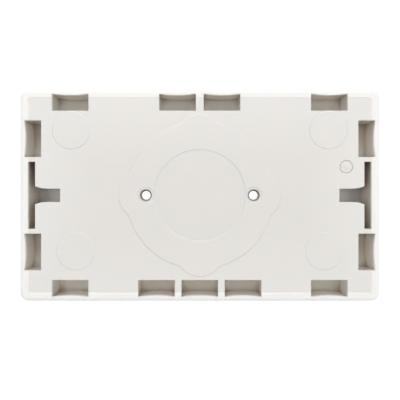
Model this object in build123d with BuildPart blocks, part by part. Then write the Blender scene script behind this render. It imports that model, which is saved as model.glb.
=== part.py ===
from build123d import *
import os
from math import atan2, degrees, radians, tan

# A two-gang surface mount back box, moulded in one piece.
# It lies face down: the open front rim is on z = 0 and the back, which goes
# against the building's wall, is on top. X runs along the length, Y across it.

# Shell
length = 146.0  # at the front rim
width = 86.0  # at the front rim
depth = 32.0
draft = 0.25  # degrees that the sides lean in towards the back
wall = 2.4
back_wall = 2.4
corner_radius = 3.6
back_edge_radius = 1.5
front_edge_chamfer = 0.4
foot_radius = 0.8  # inside, where the side walls meet the back

# Back face: a flat rim round a panel that lies a little deeper
rim_band = 3.05
panel_recess = 0.3
panel_slope = 0.3  # plan width of the sloped step, as for the other slopes
panel_corner_radius = 1.6

# Knock-out windows, open at the back and towards the inside of the box
window_length = 14.9
window_reach = 6.9
membrane = 1.6  # what is left of the side wall at a window's two ends
membrane_bulge = 0.6  # extra thickness halfway along
shelf_level = 20.0  # from the back to the shelf that closes the window
shelf_thickness = 1.6
cheek = 1.6
corner_window_x = 52.6
side_window_y = 23.0
top_pair_pitch = 18.1
bottom_row_pitch = 17.6

# T-shaped pillars that hold the faceplate screws, cored out from the back
faceplate_spacing = 120.6
pillar_wall = 1.5
bar_inset = 3.2  # from the back's outline to the bar's outer side
bar_length = 27.3
bar_width = 2.85
stem_width = 5.4
stem_reach = 13.0  # from the bar's outer side to the end of the stem
flare_length = 4.9
flare_rise = 0.95
core_level = 25.0  # from the back to the pillar's solid head
head_drop = 0.8  # from the front rim down to the pillar's head
screw_bore = 3.0
screw_bore_depth = 4.8
screw_lead = 0.5

# Fixing holes for the wall screws
fixing_spacing = 43.8
fixing_bore = 3.6
fixing_mouth = 5.0  # at the back, narrowing to the bore
fixing_mouth_depth = 3.2
fixing_dish = 6.9
fixing_dish_depth = 0.25
fixing_dish_slope = 0.4
boss_diameter = 7.0
boss_height = 2.2

# Lobed pad, and the central knock-out sunk into it
pad_radius = 30.25
pad_ear_radius = 10.0
pad_ear_rise = 3.0  # how far an ear stands out of the round
pad_blend = 4.0
pad_rise = 0.2
pad_slope = 0.7
centre_radius = 18.35  # of the sunk floor
centre_recess = 0.2
centre_slope = 0.5

# Round knock-outs
disc_radius = 7.8
disc_rise = 0.15
disc_slope = 0.4
top_disc = (52.2, 26.4)
bottom_disc = (50.4, -22.7)
break_web = 0.8  # wall left under a break line
break_width = 0.8
break_inset = 0.35  # from a knock-out's edge on the back to its break line

# Gate mark: a shallow dish with a vee groove round it and the broken gate in the middle
gate_at = (59.5, 11.55)
gate_dish = 4.6
gate_dish_depth = 0.12
gate_groove_width = 0.5
gate_groove_depth = 0.7
gate_pip = 2.4
gate_pip_rise = 0.22

# Sizes that follow
lean = depth * tan(radians(draft))
back_length = length - 2 * lean
back_width = width - 2 * lean
inner_floor = depth - back_wall
panel_inset = rim_band + panel_slope
panel_level = depth - panel_recess
pad_level = panel_level + pad_rise
cut_past = 1.0  # cutting shapes run this far past the back
window_x = back_length / 2 - membrane - window_reach  # inner edges of the windows
window_y = back_width / 2 - membrane - window_reach
bar_outer = back_length / 2 - bar_inset
bar_inner = bar_outer - bar_width
stem_end = bar_outer - stem_reach
flare_end = bar_inner - flare_length

# Each window: its centre along the side, the inner edge, and its turn
windows = [(side * corner_window_x, window_y, 0) for side in (-1, 1)]
windows += [(side * top_pair_pitch / 2, window_y, 0) for side in (-1, 1)]
windows += [(side * corner_window_x, -window_y, 180) for side in (-1, 1)]
windows += [(step * bottom_row_pitch, -window_y, 180) for step in (-1, 0, 1)]
windows += [(-window_x, side * side_window_y, 90) for side in (-1, 1)]
windows += [(window_x, side * side_window_y, -90) for side in (-1, 1)]
window_places = [Location((x, y), turn) for x, y, turn in windows]

discs = [(side * x, y) for x, y in (top_disc, bottom_disc) for side in (-1, 1)]


# Taper of a step that rises by one amount over a plan width of another
def step_taper(rise, slope):
    return degrees(atan2(slope, rise))


# Plan of one window: inner edge on y = 0, outer side an arc that bows into it
with BuildSketch() as window_plan:
    with BuildLine():
        half = window_length / 2
        Polyline((-half, window_reach), (-half, 0), (half, 0), (half, window_reach))
        ThreePointArc((half, window_reach), (0, window_reach - membrane_bulge), (-half, window_reach))
    make_face()

# Plan of the cheeks and shelf that stand round one window
with BuildSketch() as bay_plan:
    Rectangle(window_length + 2 * cheek, window_reach, align=(Align.CENTER, Align.MIN))

# Plan of the T-shaped core of the pillar at the +X end
with BuildSketch() as core_plan:
    with BuildLine():
        Polyline(
            (bar_outer, 0),
            (bar_outer, bar_length / 2),
            (bar_inner, bar_length / 2),
            (bar_inner, stem_width / 2 + flare_rise),
        )
        TangentArc((flare_end, stem_width / 2), (bar_inner, stem_width / 2 + flare_rise), tangent=(1, 0))
        Polyline((flare_end, stem_width / 2), (stem_end, stem_width / 2), (stem_end, 0))
        mirror(about=Plane.XZ)
    make_face()

# Plan of the pillar itself, a wall round its core
with BuildSketch() as pillar_plan:
    add(core_plan.sketch)
    offset(amount=pillar_wall, kind=Kind.INTERSECTION)

# Plan of the lobed pad: a round with four ears, blended by small hollows
with BuildSketch() as pad_plan:
    Circle(pad_radius)
    with PolarLocations(pad_radius + pad_ear_rise - pad_ear_radius, 4):
        Circle(pad_ear_radius)
    fillet(pad_plan.vertices(), radius=pad_blend)

with BuildPart() as box_body:
    # Outer shape, leaning in towards the back
    with BuildSketch():
        RectangleRounded(length, width, corner_radius)
    extrude(amount=depth, taper=draft)
    fillet(box_body.faces().sort_by(Axis.Z)[-1].edges(), radius=back_edge_radius)
    chamfer(box_body.faces().sort_by(Axis.Z)[0].edges(), length=front_edge_chamfer)

    # Inside of the box
    with BuildSketch():
        RectangleRounded(length - 2 * wall, width - 2 * wall, corner_radius - wall)
    extrude(amount=inner_floor, taper=draft, mode=Mode.SUBTRACT)
    floor_face = box_body.faces(Select.LAST).filter_by(Axis.Z).sort_by(Axis.Z)[-1]
    fillet(floor_face.edges(), radius=foot_radius)

    # Recessed panel of the back
    with BuildSketch(Plane.XY.offset(panel_level)):
        RectangleRounded(back_length - 2 * panel_inset, back_width - 2 * panel_inset, panel_corner_radius)
    extrude(amount=panel_recess, taper=-step_taper(panel_recess, panel_slope), mode=Mode.SUBTRACT)

    # Cheeks and shelf of each window
    with BuildSketch(Plane.XY.offset(depth - shelf_level - shelf_thickness)):
        with Locations(*window_places):
            add(bay_plan.sketch)
    extrude(amount=shelf_level + shelf_thickness - back_wall / 2)

    # Pillars for the faceplate screws
    with BuildSketch(Plane.XY.offset(head_drop)):
        add(pillar_plan.sketch)
        mirror(about=Plane.YZ)
    extrude(amount=depth - head_drop - back_wall / 2)

    # Bosses round the fixing holes
    with BuildSketch(Plane.XY.offset(inner_floor - boss_height)):
        with GridLocations(fixing_spacing, 0, 2, 1):
            Circle(boss_diameter / 2)
    extrude(amount=boss_height + back_wall / 2)

    # Lobed pad and round knock-outs, which stand a little proud of the panel
    with BuildSketch(Plane.XY.offset(panel_level)):
        add(pad_plan.sketch)
    extrude(amount=pad_rise, taper=step_taper(pad_rise, pad_slope))
    with BuildSketch(Plane.XY.offset(panel_level)):
        with Locations(*discs):
            Circle(disc_radius)
    extrude(amount=disc_rise, taper=step_taper(disc_rise, disc_slope))

    # Central knock-out
    with BuildSketch(Plane.XY.offset(pad_level - centre_recess)):
        Circle(centre_radius)
    extrude(amount=centre_recess, taper=-step_taper(centre_recess, centre_slope), mode=Mode.SUBTRACT)

    # Windows, from the back down to their shelves
    with BuildSketch(Plane.XY.offset(depth - shelf_level)):
        with Locations(*window_places):
            add(window_plan.sketch)
    extrude(amount=shelf_level + cut_past, mode=Mode.SUBTRACT)

    # Cores of the pillars
    with BuildSketch(Plane.XY.offset(depth - core_level)):
        add(core_plan.sketch)
        mirror(about=Plane.YZ)
    extrude(amount=core_level + cut_past, mode=Mode.SUBTRACT)

    # Blind bores for the faceplate screws, with a small lead
    with BuildSketch(Plane.XY.offset(head_drop)):
        with GridLocations(faceplate_spacing, 0, 2, 1):
            Circle(screw_bore / 2)
    extrude(amount=screw_bore_depth, mode=Mode.SUBTRACT)
    with Locations((0, 0, head_drop)):
        with GridLocations(faceplate_spacing, 0, 2, 1):
            Cone(
                screw_bore / 2 + screw_lead,
                screw_bore / 2,
                screw_lead,
                align=(Align.CENTER, Align.CENTER, Align.MIN),
                mode=Mode.SUBTRACT,
            )

    # Fixing holes: a shallow dish, a mouth that narrows from the back, and the bore
    with BuildSketch(Plane.XY.offset(pad_level - fixing_dish_depth)):
        with GridLocations(fixing_spacing, 0, 2, 1):
            Circle(fixing_dish / 2 - fixing_dish_slope)
    dish_taper = step_taper(fixing_dish_depth, fixing_dish_slope)
    extrude(amount=fixing_dish_depth, taper=-dish_taper, mode=Mode.SUBTRACT)
    with BuildSketch(Plane.XY.offset(pad_level - fixing_mouth_depth)):
        with GridLocations(fixing_spacing, 0, 2, 1):
            Circle(fixing_bore / 2)
    mouth_taper = step_taper(fixing_mouth_depth, (fixing_mouth - fixing_bore) / 2)
    extrude(amount=fixing_mouth_depth, taper=-mouth_taper, mode=Mode.SUBTRACT)
    with BuildSketch(Plane.XY.offset(inner_floor - boss_height - cut_past)):
        with GridLocations(fixing_spacing, 0, 2, 1):
            Circle(fixing_bore / 2)
    extrude(amount=boss_height + back_wall + 2 * cut_past, mode=Mode.SUBTRACT)

    # Break lines inside, under the edge of each knock-out
    with BuildSketch(Plane.XY.offset(inner_floor - cut_past)):
        Circle(centre_radius - break_inset)
        Circle(centre_radius - break_inset - break_width, mode=Mode.SUBTRACT)
        with Locations(*discs):
            Circle(disc_radius - break_inset)
            Circle(disc_radius - break_inset - break_width, mode=Mode.SUBTRACT)
    extrude(amount=cut_past + panel_level - break_web - inner_floor, mode=Mode.SUBTRACT)

    # Gate mark
    gate_plane = Plane.XZ.offset(-gate_at[1]).shift_origin((gate_at[0], gate_at[1], panel_level))
    with BuildSketch(gate_plane):
        with BuildLine():
            Polyline(
                (0, cut_past),
                (gate_dish / 2 + gate_groove_width, cut_past),
                (gate_dish / 2 + gate_groove_width, 0),
                (gate_dish / 2 + gate_groove_width / 2, -gate_groove_depth),
                (gate_dish / 2, -gate_dish_depth),
                (0, -gate_dish_depth),
                close=True,
            )
        make_face()
    gate_axis = Axis((*gate_at, panel_level), (0, 0, 1))
    revolve(axis=gate_axis, mode=Mode.SUBTRACT)
    with BuildSketch(gate_plane):
        with BuildLine():
            crown = (0, gate_pip_rise - gate_dish_depth)
            foot = (gate_pip / 2, -gate_dish_depth)
            RadiusArc(crown, foot, (gate_pip**2 / 4 + gate_pip_rise**2) / (2 * gate_pip_rise))
            Polyline(foot, (0, foot[1] - gate_dish_depth), crown)
        make_face()
    revolve(axis=gate_axis)

box_body.part.label = "box_body"

os.makedirs("parts", exist_ok=True)
export_step(box_body.part, "parts/box_body.step")
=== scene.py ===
from math import pi, radians, tan

import bpy
import bmesh
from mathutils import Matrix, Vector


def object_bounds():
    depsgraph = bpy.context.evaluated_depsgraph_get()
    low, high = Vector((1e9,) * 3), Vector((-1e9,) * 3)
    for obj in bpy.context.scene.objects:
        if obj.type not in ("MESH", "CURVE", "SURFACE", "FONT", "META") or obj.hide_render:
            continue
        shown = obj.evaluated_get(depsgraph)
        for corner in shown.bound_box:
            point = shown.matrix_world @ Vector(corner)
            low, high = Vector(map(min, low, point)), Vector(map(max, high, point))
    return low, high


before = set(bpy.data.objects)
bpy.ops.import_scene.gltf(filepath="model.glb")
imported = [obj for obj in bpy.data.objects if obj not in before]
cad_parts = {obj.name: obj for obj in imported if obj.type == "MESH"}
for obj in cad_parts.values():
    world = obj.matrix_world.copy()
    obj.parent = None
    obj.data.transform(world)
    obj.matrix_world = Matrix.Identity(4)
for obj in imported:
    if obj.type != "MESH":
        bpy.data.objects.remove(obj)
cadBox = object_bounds()
low, high = cadBox
print("frame loaded, box", [round(v * 1000, 2) for v in (high - low)], "mm")

scene = bpy.context.scene
scene.view_settings.view_transform = "Standard"
draft = radians(0.25)                       # the sides lean in towards the back
lean = (high.z - low.z) * tan(draft)


def newMaterial(name):
    material = bpy.data.materials.new(name)
    material.use_nodes = True
    tree = material.node_tree
    tree.nodes.clear()
    output = tree.nodes.new("ShaderNodeOutputMaterial")
    return material, tree, output


def addNode(tree, kind, values=None, **settings):
    node = tree.nodes.new(kind)
    for key, value in settings.items():
        setattr(node, key, value)
    for key, value in (values or {}).items():
        node.inputs[key].default_value = value
    return node


# Shorter ways to build a chain of nodes
def ramp(tree, source, start, end, first=0.0, last=1.0):
    values = {"From Min": start, "From Max": end, "To Min": first, "To Max": last}
    node = addNode(tree, "ShaderNodeMapRange", values)
    tree.links.new(source, node.inputs["Value"])
    return node.outputs["Result"]


def reckon(tree, operation, *values, **settings):
    node = addNode(tree, "ShaderNodeMath", operation=operation, **settings)
    for place, value in zip(node.inputs, values):
        if isinstance(value, (int, float)):
            place.default_value = value
        else:
            tree.links.new(value, place)
    return node.outputs["Value"]


def blend(tree, factor, first, second, kind="RGBA"):
    node = addNode(tree, "ShaderNodeMix", data_type=kind)
    tree.links.new(factor, node.inputs["Factor"])
    for name, value in (("A", first), ("B", second)):
        if isinstance(value, (float, tuple)):
            node.inputs[name].default_value = value
        else:
            tree.links.new(value, node.inputs[name])
    return node.outputs["Result"]


def noise(tree, coords, scale, detail, roughness=0.5):
    node = addNode(tree, "ShaderNodeTexNoise", {"Scale": scale, "Detail": detail, "Roughness": roughness})
    tree.links.new(coords, node.inputs["Vector"])
    return node.outputs["Fac"]


def bump(tree, source, height, under=None):
    node = addNode(tree, "ShaderNodeBump", {"Strength": 1, "Distance": height})
    tree.links.new(source, node.inputs["Height"])
    if under is not None:
        tree.links.new(under, node.inputs["Normal"])
    return node.outputs["Normal"]


# The moulded plastic of the box, a warm white; lengths in metres from here on
plastic = {
    "shadeMiddle": (0.820, 0.788, 0.744, 1),
    "shadeEdge": (0.866, 0.835, 0.792, 1),      # painted light: a little paler towards the edges
    "edgeLightBand": (0.032, 0.004),                 # in from the outline
    "mottle": 0.15,                             # soft flow marks
    "flowScale": 34,                            # per metre, as for the other scales
    "flowDetail": 3,
    "roughness": (0.40, 0.50),
    "ior": 1.5,
    "rimPaintedGlow": (0.995, 0.958, 0.912, 1),       # painted light: the rim paler, for light glowing through the walls
    "rimGlowBand": (0.0036, 0.0030),
    "insidePaintedBounceLight": (0.985, 0.930, 0.862, 1),    # inside the box and in the pockets: painted light, paler and warmer for light bounced about in there
    "paintedCreaseShade": (0.66, 0.58, 0.49, 1),       # painted shade, darker deep in the pockets' corners
    "creaseReach": 0.0036,
    "creaseBand": (0.30, 0.72),
    "creaseSamples": 8,
    "polished": 0.16,                           # roughness in there, left by polished core pins
    "insideBelow": (0.0285, 0.0305),
    "skin": (0.00145, 0.00115),                 # the outer faces lie nearer the outline than this
    "paintedBoreShade": (0.48, 0.44, 0.38, 1),         # painted shade on the walls of the two fixing holes, where little light comes back out
    "roughBore": 1.0,
    "boreX": 0.0219,
    "boreRadius": (0.00252, 0.00244),
    "boreFrom": 0.0276,
    "grainScale": 5200,                         # fine spark-eroded grain
    "grainDetail": 2,
    "grainRoughness": 0.6,
    "grainRange": (0.3, 0.7),                   # of the noise, stretched over the roughness
    "grainHeight": 0.000008,
    "waveScale": 60,                            # the faint waviness of a large flat moulding
    "waveDetail": 1,
    "waveHeight": 0.00003,
    "relief": 0.8,                              # how much steeper the slopes of the low steps shade
    "reliefSlope": (0.80, 0.88),                # on faces flatter than this
    "subsurface": 0.3,
    "subsurfaceScale": 0.0018,
    "subsurfaceRadius": (1.0, 0.85, 0.65),
}


def makePlastic(p):
    material, tree, output = newMaterial("mouldedPlastic")
    link = tree.links.new
    texCoords = addNode(tree, "ShaderNodeTexCoord").outputs
    coords = texCoords["Object"]
    split = addNode(tree, "ShaderNodeSeparateXYZ")
    link(coords, split.inputs["Vector"])
    awayX, awayY = [reckon(tree, "ABSOLUTE", split.outputs[axis]) for axis in "XY"]
    z = split.outputs["Z"]
    grain = noise(tree, coords, p["grainScale"], p["grainDetail"], p["grainRoughness"])

    pastX = reckon(tree, "SUBTRACT", awayX, high.x - lean)
    pastY = reckon(tree, "SUBTRACT", awayY, high.y - lean)
    past = reckon(tree, "MAXIMUM", pastX, pastY)        # how far past the outline, below 0 within it
    nearBack = ramp(tree, z, *p["insideBelow"])
    onSkin = ramp(tree, past, -p["skin"][0], -p["skin"][1])
    outside = reckon(tree, "MAXIMUM", nearBack, onSkin)
    # Painted light: the rim band is painted paler
    onBand = ramp(tree, past, -p["rimGlowBand"][0], -p["rimGlowBand"][1])
    onRim = reckon(tree, "MULTIPLY", onBand, nearBack)

    flow = noise(tree, coords, p["flowScale"], p["flowDetail"])
    mottle = ramp(tree, flow, 0, 1, -p["mottle"], p["mottle"])
    # Painted light: the panel is paler towards its edges, blended with the real flow mottle
    paintedEdgeLight = ramp(tree, past, -p["edgeLightBand"][0], -p["edgeLightBand"][1])
    pale = reckon(tree, "ADD", paintedEdgeLight, mottle, use_clamp=True)
    colour = blend(tree, pale, p["shadeMiddle"], p["shadeEdge"])
    colour = blend(tree, onRim, colour, p["rimPaintedGlow"])
    # Painted shade: darker in the corners inside, found by ambient occlusion
    corners = addNode(tree, "ShaderNodeAmbientOcclusion", {"Distance": p["creaseReach"]},
                      samples=p["creaseSamples"], only_local=True)
    openness = ramp(tree, corners.outputs["AO"], *p["creaseBand"])
    inside = blend(tree, openness, p["paintedCreaseShade"], p["insidePaintedBounceLight"])
    # Painted light and shade inside: paler for bounced light, darker in the creases
    colour = blend(tree, outside, inside, colour)
    rough = ramp(tree, grain, *p["grainRange"], *p["roughness"])
    rough = blend(tree, outside, p["polished"], rough, "FLOAT")

    # The two fixing holes: painted shade on their walls, and a rougher finish
    fromBore = addNode(tree, "ShaderNodeCombineXYZ")
    link(reckon(tree, "SUBTRACT", awayX, p["boreX"]), fromBore.inputs["X"])
    link(awayY, fromBore.inputs["Y"])
    radius = addNode(tree, "ShaderNodeVectorMath", operation="LENGTH")
    link(fromBore.outputs["Vector"], radius.inputs[0])
    inRound = ramp(tree, radius.outputs["Value"], *p["boreRadius"])
    inBore = reckon(tree, "MULTIPLY", inRound, reckon(tree, "GREATER_THAN", z, p["boreFrom"]))
    colour = blend(tree, inBore, colour, p["paintedBoreShade"])
    rough = blend(tree, inBore, rough, p["roughBore"], "FLOAT")

    # The low steps of the back: their normals lean out further
    facing = addNode(tree, "ShaderNodeSeparateXYZ")
    link(texCoords["Normal"], facing.inputs["Vector"])
    shallow = ramp(tree, facing.outputs["Z"], *p["reliefSlope"])
    onPanel = reckon(tree, "SUBTRACT", nearBack, onRim)
    relief = reckon(tree, "MULTIPLY", reckon(tree, "MULTIPLY", shallow, onPanel), p["relief"])
    relief = reckon(tree, "ADD", relief, 1)
    shoulder = addNode(tree, "ShaderNodeCombineXYZ")
    for axis in "XY":
        link(reckon(tree, "MULTIPLY", facing.outputs[axis], relief), shoulder.inputs[axis])
    link(facing.outputs["Z"], shoulder.inputs["Z"])
    normal = addNode(tree, "ShaderNodeVectorMath", operation="NORMALIZE")
    link(shoulder.outputs["Vector"], normal.inputs[0])

    wave = noise(tree, coords, p["waveScale"], p["waveDetail"])
    waves = bump(tree, wave, p["waveHeight"], normal.outputs["Vector"])
    shader = addNode(tree, "ShaderNodeBsdfPrincipled", {
        "IOR": p["ior"],
        "Subsurface Weight": p["subsurface"],
        "Subsurface Scale": p["subsurfaceScale"],
        "Subsurface Radius": p["subsurfaceRadius"],
    })
    link(colour, shader.inputs["Base Color"])
    link(rough, shader.inputs["Roughness"])
    link(bump(tree, grain, p["grainHeight"], waves), shader.inputs["Normal"])
    link(shader.outputs["BSDF"], output.inputs["Surface"])
    return material


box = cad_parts["box_body"]
box.data.materials.clear()
box.data.materials.append(makePlastic(plastic))
print("plastic on the box")


# The pale floor: plain white to the camera, with a trace of the box's shadow
floorLook = {
    "size": 3.0,
    "colour": (0.6, 0.6, 0.6, 1),
    "glow": 0.2,            # light that comes up through it
    "white": 1.045,         # to the camera: with the shaded floor's share it is plain white
    "shadowShare": 0.10,    # of the shaded floor in what the camera sees
}


def makeFloor(f):
    material, tree, output = newMaterial("paleFloor")
    link = tree.links.new
    rays = addNode(tree, "ShaderNodeLightPath").outputs
    seen = reckon(tree, "MAXIMUM", rays["Is Camera Ray"], rays["Is Glossy Ray"])
    matt = addNode(tree, "ShaderNodeBsdfDiffuse", {"Color": f["colour"]})
    glow = addNode(tree, "ShaderNodeEmission", {"Color": (1, 1, 1, 1), "Strength": f["glow"]})
    lit = addNode(tree, "ShaderNodeAddShader")
    link(matt.outputs["BSDF"], lit.inputs[0])
    link(glow.outputs["Emission"], lit.inputs[1])
    white = addNode(tree, "ShaderNodeEmission", {"Color": (1, 1, 1, 1), "Strength": f["white"]})
    mix = addNode(tree, "ShaderNodeMixShader")
    link(reckon(tree, "MULTIPLY", seen, 1 - f["shadowShare"]), mix.inputs["Fac"])
    link(lit.outputs["Shader"], mix.inputs[1])
    link(white.outputs["Emission"], mix.inputs[2])
    link(mix.outputs["Shader"], output.inputs["Surface"])
    mesh = bpy.data.meshes.new("floor")
    bm = bmesh.new()
    bmesh.ops.create_grid(bm, x_segments=1, y_segments=1, size=f["size"])
    bm.to_mesh(mesh)
    bm.free()
    floor = bpy.data.objects.new("floor", mesh)
    floor.data.materials.append(material)
    scene.collection.objects.link(floor)
    floor.location.z = low.z


makeFloor(floorLook)
print("floor laid")

# Light: soft boxes hung level round the camera, and the pale room
hung = 1.5      # the soft boxes' height; their edges are run over rise as seen from the box
softBoxes = {
    "key": {"x": (-0.95, -0.17), "y": (0.15, 1.00), "level": 1.45},     # its near corner is by the camera
    "left": {"x": (-1.00, -0.16), "y": (-0.10, 0.08), "level": 4.8},
    "right": {"x": (0.18, 1.00), "y": (-0.10, 0.08), "level": 5.5},
    "middle": {"x": (-0.17, 0.34), "y": (0.26, 0.76), "level": 3.9},
    "above": {"x": (-1.20, 1.00), "y": (1.00, 1.90), "level": 1.65},    # low, past the top edge
    "lowRight": {"x": (1.20, 2.40), "y": (-1.20, 0.60), "level": 1.2},
}
softBoxColour = (0.985, 1, 1.015)
room = {
    "zenith": 0.05,
    "horizon": 1.3,
    "fall": 3.0,            # from the horizon up
    "front": 1.0,           # so much more of it low on the -y side
}


def makeSoftBox(name, s):
    data = bpy.data.lights.new(name, "AREA")
    data.shape = "RECTANGLE"
    data.size = hung * (s["x"][1] - s["x"][0])
    data.size_y = hung * (s["y"][1] - s["y"][0])
    data.energy = s["level"] * pi * data.size * data.size_y
    data.color = softBoxColour
    lamp = bpy.data.objects.new(name, data)
    scene.collection.objects.link(lamp)
    lamp.location = (hung * sum(s["x"]) / 2, hung * sum(s["y"]) / 2, hung)


def makeRoom(r):
    world = bpy.data.worlds.new("room")
    scene.world = world
    world.use_nodes = True
    tree = world.node_tree
    tree.nodes.clear()
    link = tree.links.new
    output = addNode(tree, "ShaderNodeOutputWorld")
    split = addNode(tree, "ShaderNodeSeparateXYZ")
    link(addNode(tree, "ShaderNodeTexCoord").outputs["Generated"], split.inputs["Vector"])
    towardsHorizon = reckon(tree, "SUBTRACT", 1, split.outputs["Z"], use_clamp=True)
    level = ramp(tree, reckon(tree, "POWER", towardsHorizon, r["fall"]), 0, 1, r["zenith"], r["horizon"])
    towardsFront = reckon(tree, "MULTIPLY", split.outputs["Y"], -1, use_clamp=True)
    lowInFront = reckon(tree, "MULTIPLY", towardsFront, towardsHorizon)
    level = reckon(tree, "MULTIPLY", level, ramp(tree, lowInFront, 0, 1, 1, 1 + r["front"]))
    light = addNode(tree, "ShaderNodeBackground", {"Color": (1, 1, 1, 1)})
    link(level, light.inputs["Strength"])
    white = addNode(tree, "ShaderNodeBackground", {"Color": (1, 1, 1, 1), "Strength": 1})
    mix = addNode(tree, "ShaderNodeMixShader")
    link(addNode(tree, "ShaderNodeLightPath").outputs["Is Camera Ray"], mix.inputs["Fac"])
    link(light.outputs["Background"], mix.inputs[1])
    link(white.outputs["Background"], mix.inputs[2])
    link(mix.outputs["Shader"], output.inputs["Surface"])


for name, values in softBoxes.items():
    makeSoftBox(name, values)
makeRoom(room)
print("soft boxes and room lit")

# The camera looks straight down on the back of the box
photo = {
    "frame": 400,                   # pixels each way
    "outline": 359.5,               # length of the back in the photograph
    "centre": (199.75, 195.3),      # of the back there
    "above": 0.350,                 # from the back to the camera
    "sensor": 36.0,                 # millimetres
}


def makeCamera(p):
    data = bpy.data.cameras.new("camera")
    data.sensor_width = p["sensor"]
    backLength = (high.x - low.x) - 2 * lean
    seenWidth = backLength * p["frame"] / p["outline"]
    data.lens = p["sensor"] * p["above"] / seenWidth
    data.shift_x = (p["frame"] / 2 - p["centre"][0]) / p["frame"]
    data.shift_y = (p["centre"][1] - p["frame"] / 2) / p["frame"]
    camera = bpy.data.objects.new("camera", data)
    scene.collection.objects.link(camera)
    camera.location = ((low.x + high.x) / 2, (low.y + high.y) / 2, high.z + p["above"])
    scene.camera = camera


makeCamera(photo)
print("camera placed")
